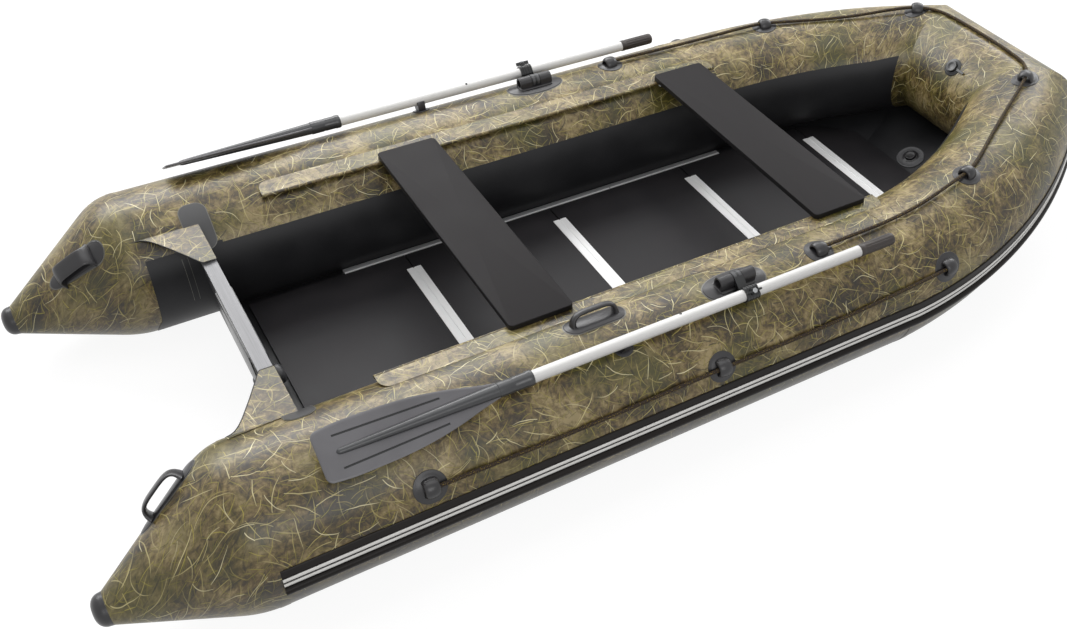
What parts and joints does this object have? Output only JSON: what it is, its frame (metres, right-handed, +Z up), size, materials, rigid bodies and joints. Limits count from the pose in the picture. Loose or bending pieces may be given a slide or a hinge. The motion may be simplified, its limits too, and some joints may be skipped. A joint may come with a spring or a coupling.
{
  "type": "inflatable boat",
  "caption": "Inflatable boat with two side tubes, raised bow, transom, panelled floor, sliding bench seats and stowed oars in rowlocks.",
  "frame": {"origin": "middle of the overall box, on the ground under the side tubes", "axes": "+X towards the bow, +Y to port, +Z up"},
  "size_m": [3.5932, 1.6782, 0.567],
  "materials": {
    "camo_fabric": "satin coated fabric, reed camouflage",
    "black_fabric": "satin coated fabric",
    "rub_rail_rubber": "satin",
    "moulded_rubber": "satin",
    "black_plastic": "satin",
    "oar_plastic": "satin",
    "white_tube": "gloss white",
    "aluminium_profile": "anodised",
    "floor_board": "film-faced plywood, dark",
    "seat_paint": "film-faced plywood, dark grey",
    "transom_ply": "painted plywood",
    "rope": "braided rope"
  },
  "bodies": {
    "hull": {"port_side_tube": "camo_fabric", "port_bow_quarter_tube": "camo_fabric", "port_stern_cone": "camo_fabric", "port_transom_knee": "camo_fabric", "port_seat_rail": "camo_fabric", "port_transom_patch": "black_fabric", "port_rub_rail": "rub_rail_rubber", "port_floor_stringer": "aluminium_profile", "port_oarlock_base": "moulded_rubber", "port_side_grab_line": "rope", "starboard_side_tube": "camo_fabric", "starboard_bow_quarter_tube": "camo_fabric", "starboard_stern_cone": "camo_fabric", "starboard_transom_knee": "camo_fabric", "starboard_seat_rail": "camo_fabric", "starboard_transom_patch": "black_fabric", "starboard_rub_rail": "rub_rail_rubber", "starboard_floor_stringer": "aluminium_profile", "starboard_oarlock_base": "moulded_rubber", "starboard_side_grab_line": "rope", "bow_tube": "camo_fabric", "bow_rub_rail": "rub_rail_rubber", "stern_caps": "moulded_rubber", "bottom_skin": "black_fabric", "floor_profiles": "aluminium_profile", "floor_panel_1": "floor_board", "floor_panel_2": "floor_board", "floor_panel_3": "floor_board", "floor_panel_4": "floor_board", "floor_panel_5": "floor_board", "transom_board": "transom_ply", "transom_cap_profile": "aluminium_profile", "outer_motor_pad": "black_plastic", "inner_motor_pad": "black_plastic", "drain_valve": "black_plastic", "bow_air_valve": "black_plastic", "keel_air_valve": "black_plastic", "line_eyelets": "moulded_rubber", "carry_handles": "moulded_rubber", "stern_handles": "moulded_rubber", "oar_clips": "moulded_rubber", "bow_grab_line": "rope"},
    "port_rowlock": {"port_oarlock_yoke": "black_plastic", "port_oarlock_knob": "black_plastic"},
    "starboard_rowlock": {"starboard_oarlock_yoke": "black_plastic", "starboard_oarlock_knob": "black_plastic"},
    "port_oar": {"port_oar_shaft": "white_tube", "port_oar_collar": "black_plastic", "port_oar_grip": "black_plastic", "port_oar_blade": "oar_plastic"},
    "starboard_oar": {"starboard_oar_shaft": "white_tube", "starboard_oar_collar": "black_plastic", "starboard_oar_grip": "black_plastic", "starboard_oar_blade": "oar_plastic"},
    "rear_seat": {"rear_seat_board": "seat_paint", "rear_seat_runners": "aluminium_profile"},
    "front_seat": {"front_seat_board": "seat_paint", "front_seat_runners": "aluminium_profile"}
  },
  "joints": [
    {"name": "port_rowlock_roll", "type": "hinge", "parent": "hull", "child": "port_rowlock", "pos_m": [0.052, 0.6301, 0.47016], "axis": [1, 0, 0], "range_deg": [0, 42]},
    {"name": "port_oar_sweep", "type": "hinge", "parent": "port_rowlock", "child": "port_oar", "pos_m": [0.052, 0.703, 0.466], "axis": [0, -0.6428, -0.766], "range_deg": [0, 130]},
    {"name": "starboard_rowlock_roll", "type": "hinge", "parent": "hull", "child": "starboard_rowlock", "pos_m": [0.052, -0.6301, 0.47016], "axis": [-1, 0, 0], "range_deg": [0, 42]},
    {"name": "starboard_oar_sweep", "type": "hinge", "parent": "starboard_rowlock", "child": "starboard_oar", "pos_m": [0.052, -0.703, 0.466], "axis": [0, -0.6428, 0.766], "range_deg": [0, 130]},
    {"name": "rear_seat_slide", "type": "slide", "parent": "hull", "child": "rear_seat", "axis": [1, 0, 0], "range_m": [-0.38, 0.35]},
    {"name": "front_seat_slide", "type": "slide", "parent": "hull", "child": "front_seat", "axis": [1, 0, 0], "range_m": [-0.35, 0.04]}
  ]
}
